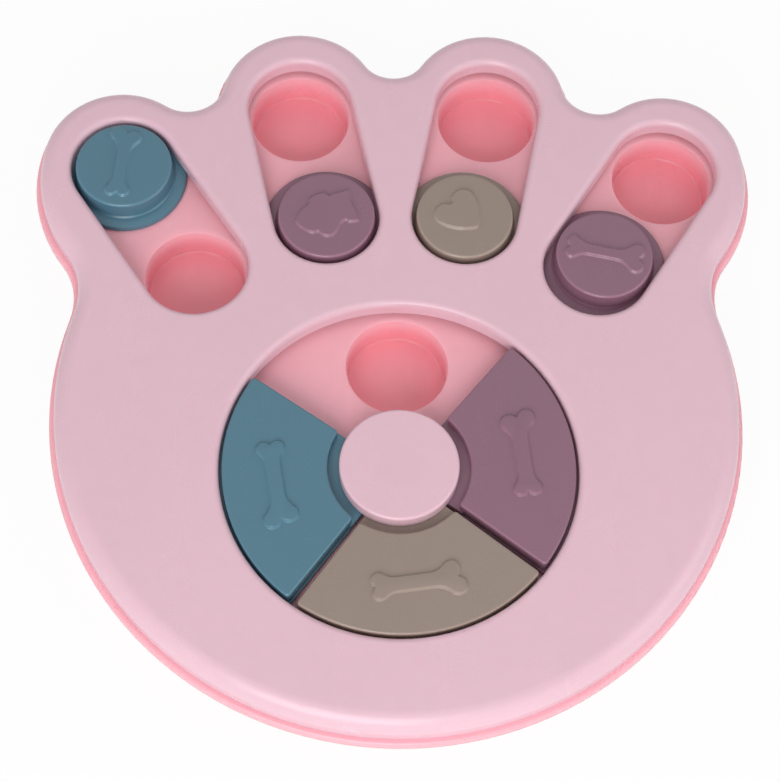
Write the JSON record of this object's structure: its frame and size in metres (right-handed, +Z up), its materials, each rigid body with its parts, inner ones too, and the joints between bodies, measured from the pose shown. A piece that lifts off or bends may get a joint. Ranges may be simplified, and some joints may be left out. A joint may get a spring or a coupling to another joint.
{
  "type": "puzzle feeder toy",
  "caption": "Paw-shaped treat puzzle for dogs: pale shell over a cupped tray, with sliding buttons in the toe slots and turning tiles round a hub.",
  "frame": {"origin": "on the ground, under the middle of the toy's bounding box", "axes": "+Z up, +Y from the round body towards the toes, +X to the right seen from above"},
  "size_m": [0.265, 0.2788, 0.0341],
  "materials": {
    "cover_pink": "satin moulded",
    "tray_pink": "satin moulded, semi-translucent look",
    "slate_blue": "satin moulded",
    "warm_grey": "satin moulded",
    "dusty_purple": "satin moulded",
    "foot_rubber": "matte",
    "screw_steel": "plain zinc"
  },
  "bodies": {
    "case": {"top_cover": "cover_pink", "hub_cap": "cover_pink", "base_tray": "tray_pink", "hub_screw": "screw_steel", "cover_screw_1": "screw_steel", "cover_screw_2": "screw_steel", "cover_screw_3": "screw_steel", "cover_screw_4": "screw_steel", "cover_screw_5": "screw_steel", "cover_screw_6": "screw_steel", "cover_screw_7": "screw_steel", "cover_screw_8": "screw_steel", "foot_1": "foot_rubber", "foot_2": "foot_rubber", "foot_3": "foot_rubber", "foot_4": "foot_rubber", "foot_5": "foot_rubber", "foot_6": "foot_rubber"},
    "blue_button": {"slider_blue_bone": "slate_blue"},
    "fish_button": {"slider_purple_fish": "dusty_purple"},
    "heart_button": {"slider_grey_heart": "warm_grey"},
    "bone_button": {"slider_purple_bone": "dusty_purple"},
    "grey_tile": {"tile_grey": "warm_grey"},
    "purple_tile": {"tile_purple": "dusty_purple"},
    "blue_tile": {"tile_blue": "slate_blue"}
  },
  "joints": [
    {"name": "blue_button_slide", "type": "slide", "parent": "case", "child": "blue_button", "axis": [-0.5476, 0.8368, 0], "range_m": [-0.0493, 0]},
    {"name": "fish_button_slide", "type": "slide", "parent": "case", "child": "fish_button", "axis": [-0.2045, 0.9789, 0], "range_m": [0, 0.048]},
    {"name": "heart_button_slide", "type": "slide", "parent": "case", "child": "heart_button", "axis": [0.2045, 0.9789, 0], "range_m": [0, 0.048]},
    {"name": "bone_button_slide", "type": "slide", "parent": "case", "child": "bone_button", "axis": [0.5476, 0.8368, 0], "range_m": [-0.00542, 0.04388]},
    {"name": "grey_tile_turn", "type": "hinge", "parent": "case", "child": "grey_tile", "pos_m": [0, -0.0431, 0.024], "axis": [0, 0, 1], "continuous": true},
    {"name": "purple_tile_turn", "type": "hinge", "parent": "grey_tile", "child": "purple_tile", "pos_m": [0, -0.0431, 0.024], "axis": [0, 0, 1], "range_deg": [0, 94]},
    {"name": "blue_tile_turn", "type": "hinge", "parent": "grey_tile", "child": "blue_tile", "pos_m": [0, -0.0431, 0.024], "axis": [0, 0, 1], "range_deg": [-94, 0]}
  ]
}
